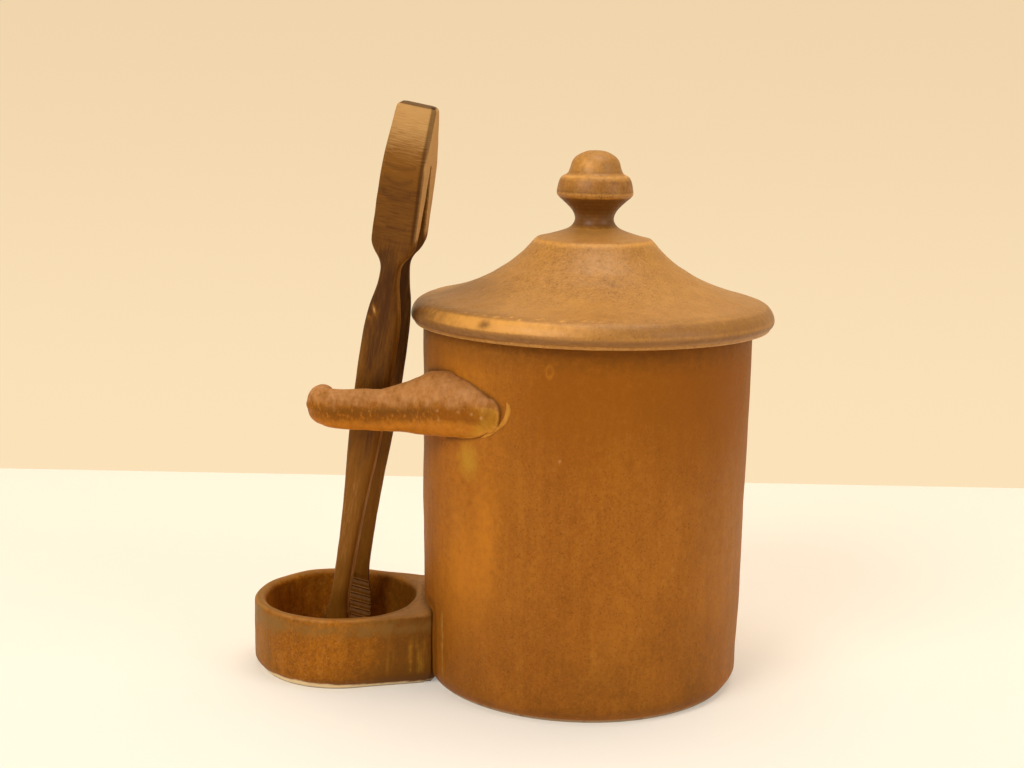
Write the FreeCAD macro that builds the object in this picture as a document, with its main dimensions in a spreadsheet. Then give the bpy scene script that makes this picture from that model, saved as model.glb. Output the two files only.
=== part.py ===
import FreeCAD, Part
import math
import os
import re
import Sketcher

# Lidded stoneware gherkin jar with a cup and an open hook for its wooden tongs.
# Frame: +Z up, origin on the jar's axis at the face it stands on, cup along -X,
# hook on the front (-Y) side. Lengths are millimetres, angles are degrees.

SIZES = {
    # Jar vessel
    "jar_rim_radius": 57.5,
    "jar_base_radius": 56.1,
    "jar_height": 127.4,
    "jar_wall": 4.5,
    "jar_floor": 6.0,
    "foot_round": 3.0,
    "mouth_round": 1.2,
    "corner_round": 6.0,
    # Cup for the tips of the tongs, cast on the jar's side
    "cup_centre": 86.8,
    "cup_hole_radius": 27.3,
    "cup_wall": 3.9,
    "cup_height": 25.9,
    "cup_floor": 3.6,
    "cup_foot_round": 4.2,
    "cup_side_turn": 17.0,
    "cup_root": 44.0,
    "cup_hole_draft": 2.0,
    "cup_hole_round": 3.0,
    "cup_lip_round": 1.6,
    "cup_edge_round": 1.3,
    # Open hook: an arm that leaves the jar beside the cup and turns back at its end
    "hook_line": 27.4,
    "hook_level": 99.5,
    "hook_reach": 96.0,
    "arm_depth": 9.4,
    "arm_rise": 14.4,
    "tip_rise": 11.6,
    "tip_depth": 9.0,
    "bend_radius": 6.2,
    "bend_turn": 112.0,
    "tip_round": 5.0,
    "tip_lift": 1.2,
    "root_start": 70.0,
    "root_length": 39.0,
    "root_sweep": 17.4,
    "root_lift": 4.6,
    "root_extra_depth": 3.1,
    "root_extra_rise": 3.6,
    # Lid, levels counted from its seat on the jar's rim
    "seat_gap": 0.2,
    "lid_play": 1.7,
    "lid_shift": 1.4,
    "lid_radius": 63.6,
    "lid_wide_level": 1.8,
    "drip_level": 0.8,
    "drip_inset": 1.7,
    "drip_width": 1.6,
    "roll_level": 7.6,
    "roll_inset": 3.7,
    "roll_radius": 6.8,
    "flank_radius": 66.0,
    "arris_radius": 19.8,
    "arris_level": 28.4,
    "lid_wall": 5.2,
    "ring_width": 4.0,
    "ring_depth": 7.0,
    # Knob on the lid
    "collar_radius": 8.8,
    "collar_level": 32.2,
    "neck_radius": 6.5,
    "neck_level": 35.5,
    "neck_curve": 14.0,
    "knob_radius": 13.1,
    "knob_edge_radius": 12.7,
    "knob_edge_level": 42.1,
    "knob_wide_level": 44.6,
    "bead_radius": 10.8,
    "bead_level": 50.2,
    "bead_curve": 2.5,
    "step_radius": 8.7,
    "step_level": 51.7,
    "dome_level": 59.1,
    # Wooden tongs, one piece: face outline by half widths and levels above the tips
    "tongs_length": 200.0,
    "tip_end_half": 3.5,
    "tip_half": 6.3,
    "tip_level": 5.0,
    "tip_curve": 6.0,
    "waist_half": 3.3,
    "waist_level": 26.0,
    "paddle_half": 6.35,
    "paddle_level": 113.5,
    "neck_half": 3.35,
    "throat_level": 143.4,
    "block_half": 7.45,
    "block_top_half": 6.7,
    "shoulder_level": 154.8,
    "top_round": 1.6,
    # Tongs from the side: a block whose two leaves spread into thin arms
    "block_depth": 16.8,
    "block_top_depth": 4.4,
    "wedge_level": 181.4,
    "tips_depth": 30.4,
    "leaf_depth": 4.2,
    "arm_thickness": 4.0,
    "kerf_width": 1.6,
    "kerf_level": 179.7,
    "tooth_pitch": 3.1,
    "tooth_depth": 0.9,
    "tooth_width": 1.8,
    "first_tooth": 2.2,
    # Stance of the tongs in the cup, against the hook and the lid's rim
    "tongs_turn": 6.9,
    "tongs_lean_in": 9.8,
    "tongs_lean_out": 9.7,
    "tongs_foot_left": 87.2,
    "tongs_foot_back": 7.5,
    "rest_gap": 0.3,
    # How far a cut runs on past the solid it opens
    "cut_overrun": 1.0,
}
TOOTH_COUNT = 6
# The round end of the kerf between the arms: its radius over the kerf's width
KERF_ROUNDNESS = 0.6
# Where along the hook's root its sections stand, and how far each has swelled
ROOT_STATIONS = ((0.0, 0.0), (0.16, 0.15), (0.32, 0.5), (0.47, 0.92), (0.66, 1.0), (0.85, 0.5), (1.0, -0.3))
# Sections round the hook's bend, and the share of the taper in rise done where it starts
BEND_STEPS = 5
TAPER_AT_BEND = 0.3
# Where sections cut the hook's rounded end, as angles round it from its widest place
END_ANGLES = (25, 48, 67, 82)
# How near two places count as the same
TOUCH = 0.01

doc = FreeCAD.newDocument("GherkinJar")
sheet = doc.addObject("Spreadsheet::Sheet", "sizes")
for row, (alias, size) in enumerate(SIZES.items(), start=1):
    sheet.set("A%d" % row, alias)
    sheet.set("B%d" % row, str(size))
    sheet.setAlias("B%d" % row, alias)
doc.recompute()


def bound(formula):
    """A formula in plain size names, rewritten to read the sheet's cells."""
    return re.sub(r"[a-z]\w+", lambda name: "sizes." + name[0] if name[0] in SIZES else name[0], formula)


def value_of(formula):
    """What such a formula comes to, so that a sketch starts at its solution."""
    return float(sheet.evalExpression(bound(formula).replace("sizes.", "")))


def bind(thing, **formulas):
    """Tie an object's properties to formulas; a double underscore stands for a dot."""
    for name, formula in formulas.items():
        thing.setExpression(name.replace("__", "."), bound(formula))


def new_sketch(body, plane):
    """An empty sketch on one of the body's own origin planes."""
    sketch = body.newObject("Sketcher::SketchObject", body.Name + "_outline")
    origin_plane = next(item for item in body.Origin.OriginFeatures if item.Role == plane)
    sketch.AttachmentSupport = [(origin_plane, "")]
    sketch.MapMode = "FlatFace"
    return sketch


def edge_between(start, end, radius, side):
    """A line, or an arc stored anticlockwise, and which of its ends come first and last."""
    a = FreeCAD.Vector(start[0], start[1], 0)
    b = FreeCAD.Vector(end[0], end[1], 0)
    if radius is None:
        return Part.LineSegment(a, b), 1, 2
    along = b - a
    left = FreeCAD.Vector(-along.y, along.x, 0).normalize()
    to_centre = math.sqrt(max(radius ** 2 - along.Length ** 2 / 4, 0.0))
    crown = (a + b) / 2 + left * side * (to_centre - radius)
    if side > 0:
        return Part.Arc(a, crown, b), 1, 2
    return Part.Arc(b, crown, a), 2, 1


def draw(sketch, corners):
    """Add a closed outline. A corner is (x, y), or (x, y, radius, side) where an arc
    reaches it with its centre on the left (side 1) or right (side -1) of the way."""
    spots = [(value_of(corner[0]), value_of(corner[1])) for corner in corners]
    first = sketch.GeometryCount
    ends = []
    for number, corner in enumerate(corners):
        radius, side = (value_of(corner[2]), corner[3]) if len(corner) == 4 else (None, 0)
        edge, start_end, last_end = edge_between(spots[number - 1], spots[number], radius, side)
        sketch.addGeometry(edge, False)
        ends.append((start_end, last_end))
    for number, corner in enumerate(corners):
        here = first + number
        after = (number + 1) % len(corners)
        last = ends[number][1]
        sketch.addConstraint(Sketcher.Constraint("Coincident", here, last, first + after, ends[after][0]))
        for kind, formula, spot in zip(("DistanceX", "DistanceY"), corner, spots[number]):
            index = sketch.addConstraint(Sketcher.Constraint(kind, here, last, spot))
            sketch.setExpression("Constraints[%d]" % index, bound(formula))
        if len(corner) == 4:
            index = sketch.addConstraint(Sketcher.Constraint("Radius", here, value_of(corner[2])))
            sketch.setExpression("Constraints[%d]" % index, bound(corner[2]))


def turned_body(name, corners):
    """A body turned about its own Z axis from a half outline of radius and level."""
    body = doc.addObject("PartDesign::Body", name)
    sketch = new_sketch(body, "XZ_Plane")
    draw(sketch, corners)
    turn = body.newObject("PartDesign::Revolution", name + "_turn")
    turn.Profile = sketch
    turn.ReferenceAxis = (sketch, ["V_Axis"])
    turn.Angle = 360.0
    doc.recompute()
    return body


def edges_at(shape, level, beyond):
    """Names of the level edges at a height whose middle lies past a distance along -X."""
    return [
        "Edge%d" % number
        for number, edge in enumerate(shape.Edges, start=1)
        if all(abs(corner.Z - level) < TOUCH for corner in edge.Vertexes)
        and edge.BoundBox.ZLength < TOUCH
        and edge.CenterOfMass.x < -beyond - TOUCH
    ]


# Jar vessel: the outside as one turned solid and the inside as another

jar_outside = turned_body("jar_outside", [
    ("0", "0"),
    ("jar_base_radius - foot_round", "0"),
    ("jar_base_radius", "foot_round", "foot_round", 1),
    ("jar_rim_radius", "jar_height - mouth_round"),
    ("jar_rim_radius - mouth_round", "jar_height", "mouth_round", 1),
    ("0", "jar_height"),
])
jar_inside = turned_body("jar_inside", [
    ("0", "jar_floor"),
    ("jar_base_radius - jar_wall - corner_round", "jar_floor"),
    ("jar_base_radius - jar_wall", "jar_floor + corner_round", "corner_round", 1),
    ("jar_rim_radius - jar_wall", "jar_height - mouth_round"),
    ("jar_rim_radius - jar_wall + mouth_round", "jar_height", "mouth_round", -1),
    ("jar_rim_radius - jar_wall + mouth_round", "jar_height + cut_overrun"),
    ("0", "jar_height + cut_overrun"),
])

# Cup: a round wall whose sides run straight on and close in until they meet the jar

CUP_RADIUS = "(cup_hole_radius + cup_wall)"
SIDE_X = "(cup_centre - %s * sin(cup_side_turn))" % CUP_RADIUS
SIDE_Y = "(%s * cos(cup_side_turn))" % CUP_RADIUS
ROOT_Y = "(%s - (%s - cup_root) * tan(cup_side_turn))" % (SIDE_Y, SIDE_X)

cup_outside = doc.addObject("PartDesign::Body", "cup_outside")
cup_sketch = new_sketch(cup_outside, "XY_Plane")
draw(cup_sketch, [
    ("-cup_root", "-" + ROOT_Y),
    ("-cup_root", ROOT_Y),
    ("-" + SIDE_X, SIDE_Y),
    ("-cup_centre - " + CUP_RADIUS, "0", CUP_RADIUS, 1),
    ("-" + SIDE_X, "-" + SIDE_Y, CUP_RADIUS, 1),
])
cup_pad = cup_outside.newObject("PartDesign::Pad", "cup_pad")
cup_pad.Profile = cup_sketch
bind(cup_pad, Length="cup_height")
doc.recompute()
cup_foot = cup_outside.newObject("PartDesign::Fillet", "cup_foot")
cup_foot.Base = (cup_pad, edges_at(cup_pad.Shape, 0, value_of("cup_root")))
bind(cup_foot, Radius="cup_foot_round")
doc.recompute()
cup_edge = cup_outside.newObject("PartDesign::Fillet", "cup_edge")
cup_edge.Base = (cup_foot, edges_at(cup_foot.Shape, value_of("cup_height"), value_of("cup_root")))
bind(cup_edge, Radius="cup_edge_round")
cup_outside.Tip = cup_edge

HOLE_BASE = "(cup_hole_radius - (cup_height - cup_floor) * tan(cup_hole_draft))"
cup_inside = turned_body("cup_inside", [
    ("0", "cup_floor"),
    (HOLE_BASE + " - cup_hole_round", "cup_floor"),
    (HOLE_BASE, "cup_floor + cup_hole_round", "cup_hole_round", 1),
    ("cup_hole_radius", "cup_height - cup_lip_round"),
    ("cup_hole_radius + cup_lip_round", "cup_height", "cup_lip_round", -1),
    ("cup_hole_radius + cup_lip_round", "cup_height + cut_overrun"),
    ("0", "cup_height + cut_overrun"),
])
bind(cup_inside, Placement__Base__x="-cup_centre")

# Hook: an oval arm that tapers into a bend and a rounded end, with a swelling root
# that runs round the jar's wall and dies into it

BEND_X = "(-hook_reach + arm_depth / 2 + bend_radius)"
BEND_Y = "(-hook_line + bend_radius)"


def oval(name, half_rise, half_depth, spot, turned="0"):
    """An upright oval outline, square to a heading turned clockwise from -X."""
    outline = doc.addObject("Part::Ellipse", name)
    bind(outline, MajorRadius=half_rise, MinorRadius=half_depth)
    bind(outline, Placement="placement(vector(%s; %s; %s); rotation(-(%s); -90; 0))" % (spot + (turned,)))
    return outline


def along_hook(start, end, share):
    """A size that tapers evenly from one value to another."""
    return "(%s + (%s - %s) * %s)" % (start, end, start, share)


hook_outlines = []
for number, (share, swell) in enumerate(reversed(ROOT_STATIONS)):
    hook_outlines.append(oval(
        "root_outline_%d" % number,
        "arm_rise / 2 + root_extra_rise * %s" % swell,
        "arm_depth / 2 + root_extra_depth * %s" % swell,
        (
            "-root_start + root_length * %s" % share,
            "-hook_line - root_sweep * %s" % round(share ** 2, 4),
            "hook_level + root_lift * sin(90 * %s)" % share,
        ),
    ))
for step in range(BEND_STEPS + 1):
    share = step / BEND_STEPS
    turned = "bend_turn * %s" % share
    hook_outlines.append(oval(
        "bend_outline_%d" % step,
        along_hook("arm_rise", "tip_rise", TAPER_AT_BEND + (1 - TAPER_AT_BEND) * share) + " / 2",
        along_hook("arm_depth", "tip_depth", share) + " / 2",
        (
            "%s - bend_radius * sin(%s)" % (BEND_X, turned),
            "%s - bend_radius * cos(%s)" % (BEND_Y, turned),
            "hook_level + tip_lift * %s" % share,
        ),
        turned,
    ))
END_X = "(%s - bend_radius * sin(bend_turn))" % BEND_X
END_Y = "(%s - bend_radius * cos(bend_turn))" % BEND_Y
for number, angle in enumerate(END_ANGLES):
    hook_outlines.append(oval(
        "end_outline_%d" % number,
        "tip_rise / 2 * cos(%s)" % angle,
        "tip_depth / 2 * cos(%s)" % angle,
        (
            "%s - tip_round * sin(%s) * cos(bend_turn)" % (END_X, angle),
            "%s + tip_round * sin(%s) * sin(bend_turn)" % (END_Y, angle),
            "hook_level + tip_lift",
        ),
        "bend_turn",
    ))
hook = doc.addObject("Part::Loft", "hook")
hook.Sections = hook_outlines
hook.Solid = True
doc.recompute()

jar_mass = doc.addObject("Part::MultiFuse", "jar_mass")
jar_mass.Shapes = [jar_outside, cup_outside, hook]
jar_hollows = doc.addObject("Part::MultiFuse", "jar_hollows")
jar_hollows.Shapes = [jar_inside, cup_inside]
jar = doc.addObject("Part::Cut", "jar_cut")
jar.Base = jar_mass
jar.Tool = jar_hollows
jar.Label = "jar"
doc.recompute()

# Lid: rolled rim, hollow bell, arris and knob, with a ring that drops into the mouth

RING_OUT = "(jar_rim_radius - jar_wall - lid_play)"
DRIP_OUT = "(lid_radius - drip_inset)"
lid = turned_body("lid_body", [
    ("0", "arris_level - lid_wall"),
    ("arris_radius - lid_wall", "arris_level - lid_wall"),
    (RING_OUT + " - ring_width", "lid_wall", "flank_radius + lid_wall", 1),
    (RING_OUT + " - ring_width", "-ring_depth"),
    (RING_OUT, "-ring_depth"),
    (RING_OUT, "0"),
    (DRIP_OUT + " - drip_width - drip_level", "0"),
    (DRIP_OUT + " - drip_width", "-drip_level"),
    (DRIP_OUT, "-drip_level"),
    ("lid_radius", "lid_wide_level", "roll_radius", 1),
    ("lid_radius - roll_inset", "roll_level", "roll_radius", 1),
    ("arris_radius", "arris_level", "flank_radius", -1),
    ("collar_radius", "collar_level"),
    ("neck_radius", "neck_level", "neck_level - collar_level", -1),
    ("knob_edge_radius", "knob_edge_level", "neck_curve", -1),
    ("knob_radius", "knob_wide_level", "knob_radius", 1),
    ("bead_radius", "bead_level", "knob_radius", 1),
    ("step_radius", "step_level", "bead_curve", 1),
    ("0", "dome_level", "(step_radius^2 + (dome_level - step_level)^2) / (2 * (dome_level - step_level))", 1),
])
lid.Label = "lid"
bind(lid, Placement__Base__x="lid_shift", Placement__Base__z="jar_height + seat_gap")

# Tongs: the face outline sets the widths, and the side outline parts the arms


def swing(low_half, low_level, high_half, high_level):
    """Radius of the two equal arcs that swing from one upright edge to another."""
    across = "(%s - %s)" % (high_half, low_half)
    up = "(%s - %s)" % (high_level, low_level)
    return "(%s^2 + %s^2) / (4 * abs(%s))" % (across, up, across)


def swung(low_half, low_level, high_half, high_level, first_side):
    """Two corners for such a swing: its middle and its top, on the +X side."""
    radius = swing(low_half, low_level, high_half, high_level)
    middle = ("(%s + %s) / 2" % (low_half, high_half), "(%s + %s) / 2" % (low_level, high_level))
    return [(middle[0], middle[1], radius, first_side), (high_half, high_level, radius, -first_side)]


def mirrored(corners):
    """The same edges walked back down on the -X side."""
    spots = [("-(%s)" % corner[0], corner[1]) for corner in reversed(corners)]
    arcs = [corner[2:] for corner in reversed(corners)]
    return [spots[0]] + [spot + arc for spot, arc in zip(spots[1:], arcs)]


BLOCK_FALL = "(block_half - block_top_half)"
BLOCK_RUN = "(tongs_length - top_round - shoulder_level)"
BLOCK_CURVE = "(%s^2 + %s^2) / (2 * %s)" % (BLOCK_FALL, BLOCK_RUN, BLOCK_FALL)
face_side = [("tip_end_half", "0"), ("tip_half", "tip_level", "tip_curve", 1)]
face_side += swung("tip_half", "tip_level", "waist_half", "waist_level", 1)
face_side += swung("waist_half", "waist_level", "paddle_half", "paddle_level", -1)
face_side += swung("paddle_half", "paddle_level", "neck_half", "throat_level", 1)
face_side += swung("neck_half", "throat_level", "block_half", "shoulder_level", -1)
face_side += [
    ("block_top_half", "tongs_length - top_round", BLOCK_CURVE, 1),
    ("block_top_half - top_round", "tongs_length", "top_round", 1),
]
tongs = doc.addObject("PartDesign::Body", "tongs_body")
face_sketch = new_sketch(tongs, "XZ_Plane")
draw(face_sketch, face_side + mirrored(face_side))
face_pad = tongs.newObject("PartDesign::Pad", "face_pad")
face_pad.Profile = face_sketch
face_pad.SideType = "Symmetric"
bind(face_pad, Length="tips_depth")
doc.recompute()

SLOT_TIP = "(tips_depth / 2 - arm_thickness)"
SLOT_SHOULDER = "(block_depth / 2 - leaf_depth)"
side_cut = [
    (SLOT_TIP, "-cut_overrun"),
    (SLOT_TIP, "0"),
]


def slot_half(level):
    """Half the gap between the arms at a level below the shoulders."""
    return "(%s + (%s - %s) * (%s) / shoulder_level)" % (SLOT_TIP, SLOT_SHOULDER, SLOT_TIP, level)


for number in range(TOOTH_COUNT):
    middle = "first_tooth + tooth_pitch * %d" % number
    low = "%s - tooth_width / 2" % middle
    high = "%s + tooth_width / 2" % middle
    side_cut += [
        (slot_half(low), low),
        (slot_half(middle) + " + tooth_depth", middle),
        (slot_half(high), high),
    ]
side_cut += [(SLOT_SHOULDER, "shoulder_level"), ("kerf_width / 2", "kerf_level")]
kerf_end = mirrored(side_cut)
kerf_end[0] += ("kerf_width * %s" % KERF_ROUNDNESS, 1)
slot_sketch = new_sketch(tongs, "YZ_Plane")
draw(slot_sketch, side_cut + kerf_end)
slot = tongs.newObject("PartDesign::Pocket", "slot")
slot.Profile = slot_sketch
slot.Type = "ThroughAll"
slot.SideType = "Symmetric"
doc.recompute()

flank_sketch = new_sketch(tongs, "YZ_Plane")
flank_cut = [
    ("tips_depth / 2", "0"),
    ("tips_depth / 2 + cut_overrun", "0"),
    ("tips_depth / 2 + cut_overrun", "tongs_length + cut_overrun"),
    ("block_top_depth / 2", "tongs_length + cut_overrun"),
    ("block_top_depth / 2", "tongs_length"),
    ("block_depth / 2", "wedge_level"),
    ("block_depth / 2", "shoulder_level"),
]
draw(flank_sketch, flank_cut)
draw(flank_sketch, mirrored(flank_cut))
flanks = tongs.newObject("PartDesign::Pocket", "flanks")
flanks.Profile = flank_sketch
flanks.Type = "ThroughAll"
flanks.SideType = "Symmetric"
tongs.Tip = flanks
tongs.Label = "tongs"
FOOT_RISE = "tip_end_half * sin(tongs_lean_in) + tips_depth / 2 * cos(tongs_lean_in) * sin(tongs_lean_out)"
STANCE = "vector(-tongs_foot_left; tongs_foot_back; cup_floor + rest_gap + %s)" % FOOT_RISE
bind(tongs, Placement="placement(%s; rotation(-tongs_turn; tongs_lean_in; tongs_lean_out))" % STANCE)
doc.recompute()

# Checks, then one file for each piece

for thing in doc.Objects:
    faults = [state for state in thing.State if state in ("Invalid", "Error")]
    if faults:
        raise RuntimeError("%s is %s" % (thing.Name, faults))
os.makedirs("parts", exist_ok=True)
for piece in (jar, lid, tongs):
    shape = piece.Shape
    if shape.isNull() or not shape.isValid() or len(shape.Solids) != 1:
        raise RuntimeError("%s is not one valid solid" % piece.Label)
    shape.exportStep("parts/%s.step" % piece.Label)
    box = shape.optimalBoundingBox(False)
    corners = (box.XMin, box.YMin, box.ZMin, box.XMax, box.YMax, box.ZMax)
    print("%-6s volume %8.0f mm3, from %.1f %.1f %.1f to %.1f %.1f %.1f" % ((piece.Label, shape.Volume) + corners))
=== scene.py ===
import math

import bmesh
import bpy
import numpy as np
from mathutils import Matrix, Vector


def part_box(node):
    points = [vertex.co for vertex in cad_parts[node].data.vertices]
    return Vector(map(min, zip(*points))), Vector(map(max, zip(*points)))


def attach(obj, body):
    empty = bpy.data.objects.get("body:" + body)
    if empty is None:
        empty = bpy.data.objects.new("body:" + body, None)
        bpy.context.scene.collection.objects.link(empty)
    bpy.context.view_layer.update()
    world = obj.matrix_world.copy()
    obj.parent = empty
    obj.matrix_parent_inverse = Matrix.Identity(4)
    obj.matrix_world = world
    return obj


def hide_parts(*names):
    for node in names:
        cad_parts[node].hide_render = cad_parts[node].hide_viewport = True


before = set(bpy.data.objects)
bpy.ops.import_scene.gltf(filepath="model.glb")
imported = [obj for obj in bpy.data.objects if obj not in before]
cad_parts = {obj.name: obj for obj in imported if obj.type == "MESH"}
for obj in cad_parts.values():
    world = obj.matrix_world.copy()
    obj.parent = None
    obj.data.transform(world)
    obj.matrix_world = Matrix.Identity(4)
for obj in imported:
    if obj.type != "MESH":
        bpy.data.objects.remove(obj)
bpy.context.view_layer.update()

# Lidded stoneware gherkin jar with a cup and an open hook for its wooden tongs.
# Shapes are worked out in millimetres and written to the meshes in metres.

mm = 0.001
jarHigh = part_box("jar")[1]


def throughPoints(points, count):
    # a smooth line through the points: cubic pieces whose slopes are those of the chords beside them
    p = np.asarray(points, float)
    knots = np.r_[0, np.cumsum(np.sqrt(np.linalg.norm(np.diff(p, axis=0), axis=1)))]
    slopes = np.gradient(p, knots, axis=0)
    t = np.linspace(0, knots[-1], count)
    i = np.clip(np.searchsorted(knots, t, side="right") - 1, 0, len(p) - 2)
    span = (knots[i + 1] - knots[i])[:, None]
    s = (t - knots[i])[:, None] / span
    return ((2 * s**3 - 3 * s**2 + 1) * p[i] + (s**3 - 2 * s**2 + s) * span * slopes[i]
            + (3 * s**2 - 2 * s**3) * p[i + 1] + (s**3 - s**2) * span * slopes[i + 1])


def roundedPath(corners, step):
    # straight runs whose corners (x, y, radius) are tangent arcs, cut into pieces of about one step
    c = np.asarray(corners, float)
    out = [c[0, :2]]
    for before, corner, after in zip(c[:-2], c[1:-1], c[2:]):
        inward = (before[:2] - corner[:2]) / np.linalg.norm(before[:2] - corner[:2])
        onward = (after[:2] - corner[:2]) / np.linalg.norm(after[:2] - corner[:2])
        half = math.acos(np.clip(inward @ onward, -1, 1)) / 2
        if corner[2] < 1e-6:
            out.append(corner[:2])
            continue
        reach = corner[2] / math.tan(half)
        middle = corner[:2] + (inward + onward) / np.linalg.norm(inward + onward) * corner[2] / math.sin(half)
        first, last = corner[:2] + inward * reach - middle, corner[:2] + onward * reach - middle
        turn = math.pi - 2 * half
        pieces = max(3, int(turn * corner[2] / min(step, corner[2] * 0.35)))
        share = np.linspace(0, 1, pieces + 1)[:, None]
        arc = (np.sin((1 - share) * turn) * first + np.sin(share * turn) * last) / math.sin(turn)
        out.extend(middle + arc)
    out.append(c[-1, :2])
    out = np.array(out)
    full = [out[:1]]
    for a, b in zip(out[:-1], out[1:]):
        pieces = max(1, int(round(np.linalg.norm(b - a) / step)))
        full.append(a + (b - a) * np.linspace(0, 1, pieces + 1)[1:, None])
    return np.vstack(full)


def turned(profile, columns):
    # each profile point (radius, level) carried once round the Z axis
    a = np.linspace(0, 2 * np.pi, columns, endpoint=False) if np.isscalar(columns) else columns
    r, z = profile[:, :1], profile[:, 1:2]
    return np.stack([r * np.cos(a), r * np.sin(a), z + 0 * a], -1)


def wave(position, scale, seed, octaves=3):
    # smooth unevenness between about -1 and 1: a sum of sines in fixed random directions
    picks = np.random.default_rng(seed)
    total = np.zeros(position.shape[:-1])
    for octave in range(octaves):
        for _ in range(4):
            way = picks.normal(size=3)
            way *= 2 * np.pi * 2**octave / (scale * np.linalg.norm(way))
            total += np.sin(position @ way + picks.uniform(0, 2 * np.pi)) / (4 * 1.6**octave)
    return total


def gridFaces(rows, columns):
    # four-sided faces between neighbouring rows and columns; the last column joins the first
    here = np.arange(rows * columns).reshape(rows, columns)
    beside = np.roll(here, -1, axis=1)
    return np.stack([here[:-1], beside[:-1], beside[1:], here[1:]], -1)


def gridPiece(name, points):
    # a closed skin over a grid whose columns wrap; rows that shrink to a point close it
    return meshPiece(name, points.reshape(-1, 3), gridFaces(*points.shape[:2]).reshape(-1, 4))


def meshPiece(name, points, faces, sharpAngle=None):
    # doubles are merged, faces turned outward and shaded smooth, apart from edges sharper than an angle
    mesh = bpy.data.meshes.new(name)
    mesh.from_pydata((points * mm).tolist(), [], faces.tolist())
    work = bmesh.new()
    work.from_mesh(mesh)
    bmesh.ops.remove_doubles(work, verts=work.verts, dist=2e-6)
    bmesh.ops.dissolve_degenerate(work, edges=work.edges, dist=1e-7)
    bmesh.ops.recalc_face_normals(work, faces=work.faces)
    if work.calc_volume(signed=True) < 0:
        bmesh.ops.reverse_faces(work, faces=work.faces)
    work.to_mesh(mesh)
    work.free()
    mesh.polygons.foreach_set("use_smooth", np.ones(len(mesh.polygons), bool))
    if sharpAngle:
        mesh.set_sharp_from_angle(angle=math.radians(sharpAngle))
    piece = bpy.data.objects.new(name, mesh)
    bpy.context.scene.collection.objects.link(piece)
    return piece


def places(piece):
    # the piece's vertices in millimetres
    co = np.empty(len(piece.data.vertices) * 3, np.float32)
    piece.data.vertices.foreach_get("co", co)
    return co.reshape(-1, 3).astype(float) * 1000


def polar(p, axis=0.0):
    # angle in degrees and distance round an upright axis that stands at (axis, 0)
    return np.degrees(np.arctan2(p[:, 1], p[:, 0] - axis)), np.hypot(p[:, 0] - axis, p[:, 1])


def paint(piece, name, values):
    # one number at each vertex, for the material to read
    layer = piece.data.attributes.new(name, "FLOAT", "POINT")
    layer.data.foreach_set("value", np.clip(values, 0, 1).astype(np.float32))


def smooth(value, low, high):
    # 0 below low, 1 above high and an even S between
    t = np.clip((value - low) / (high - low), 0, 1)
    return t * t * (3 - 2 * t)


def hill(value, middle, width):
    # 1 at the middle, falling off smoothly on both sides
    return np.exp(-((value - middle) / width)**2)


def spot(across, up, mark):
    # a soft spot: strength, middle and width across, middle and height up
    strength, middle, width, level, height = mark
    return strength * hill(across, middle, width) * hill(up, level, height)


def within(value, rise, fall):
    # eased from 0 to 1 over the first range and back to 0 over the second
    return smooth(value, *rise) * (1 - smooth(value, *fall))


def apart(turn, middle):
    # how many degrees a direction is from the middle one, from -180 to 180
    return (turn - middle + 180) % 360 - 180


def nearest(spots, line):
    # how far each spot is from the line's nearest point
    return np.linalg.norm(spots[:, None] - line[None], axis=-1).min(1)


def settle(piece, material, node):
    piece.data.materials.append(material)
    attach(piece, "root")
    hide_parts(node)


vessel = {
    "rimRadius": jarHigh.x / mm,  # outside the rim
    "footRadius": 56.1,  # outside, just above the foot
    "height": jarHigh.z / mm,
    "wall": 4.5,
    "floor": 6.0,
    "belly": 0.28,  # how far the wall swells past a straight cone
    "unevenness": 0.22,  # of the hand-thrown wall
    "footRing": (9.0, 2.6, 0.7),  # inner and outer edge, in from the foot's radius, and hollow below
    "mouthRound": 1.3,
    "floorRound": 6.0,
    "taper": 1.4,  # the inside is this much narrower at the floor
    "straightRun": (8.0, 4.0),  # the wall is straight from this level to this far below the rim
    "rows": (2.0, 0.8, 3.0),  # spacing of the rows on the base, the outer wall and the inside
    "fineWindow": (-165, -98),  # where the hook and the cup join
    "columns": (0.55, 1.3),  # spacing in degrees: in that window and elsewhere
}


def wallRadius(level):
    # outside radius of the jar: a cone with a slight swell in its lower half
    share = np.clip(level / vessel["height"], 0, 1)
    cone = vessel["footRadius"] + (vessel["rimRadius"] - vessel["footRadius"]) * share
    return cone + vessel["belly"] * np.sin(np.pi * share ** 0.8)


def columnAngles(windows, coarse):
    # angles once round, closer together inside the windows (from, to, spacing), all in degrees
    edges = [(-180.0, coarse)]
    for low, high, spacing in windows:
        edges += [(low, spacing), (high, coarse)]
    ends = [edge[0] for edge in edges[1:]] + [180.0]
    runs = [np.arange(a[0], b - a[1] * 0.5, a[1]) for a, b in zip(edges, ends)]
    return np.radians(np.concatenate(runs))


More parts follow.
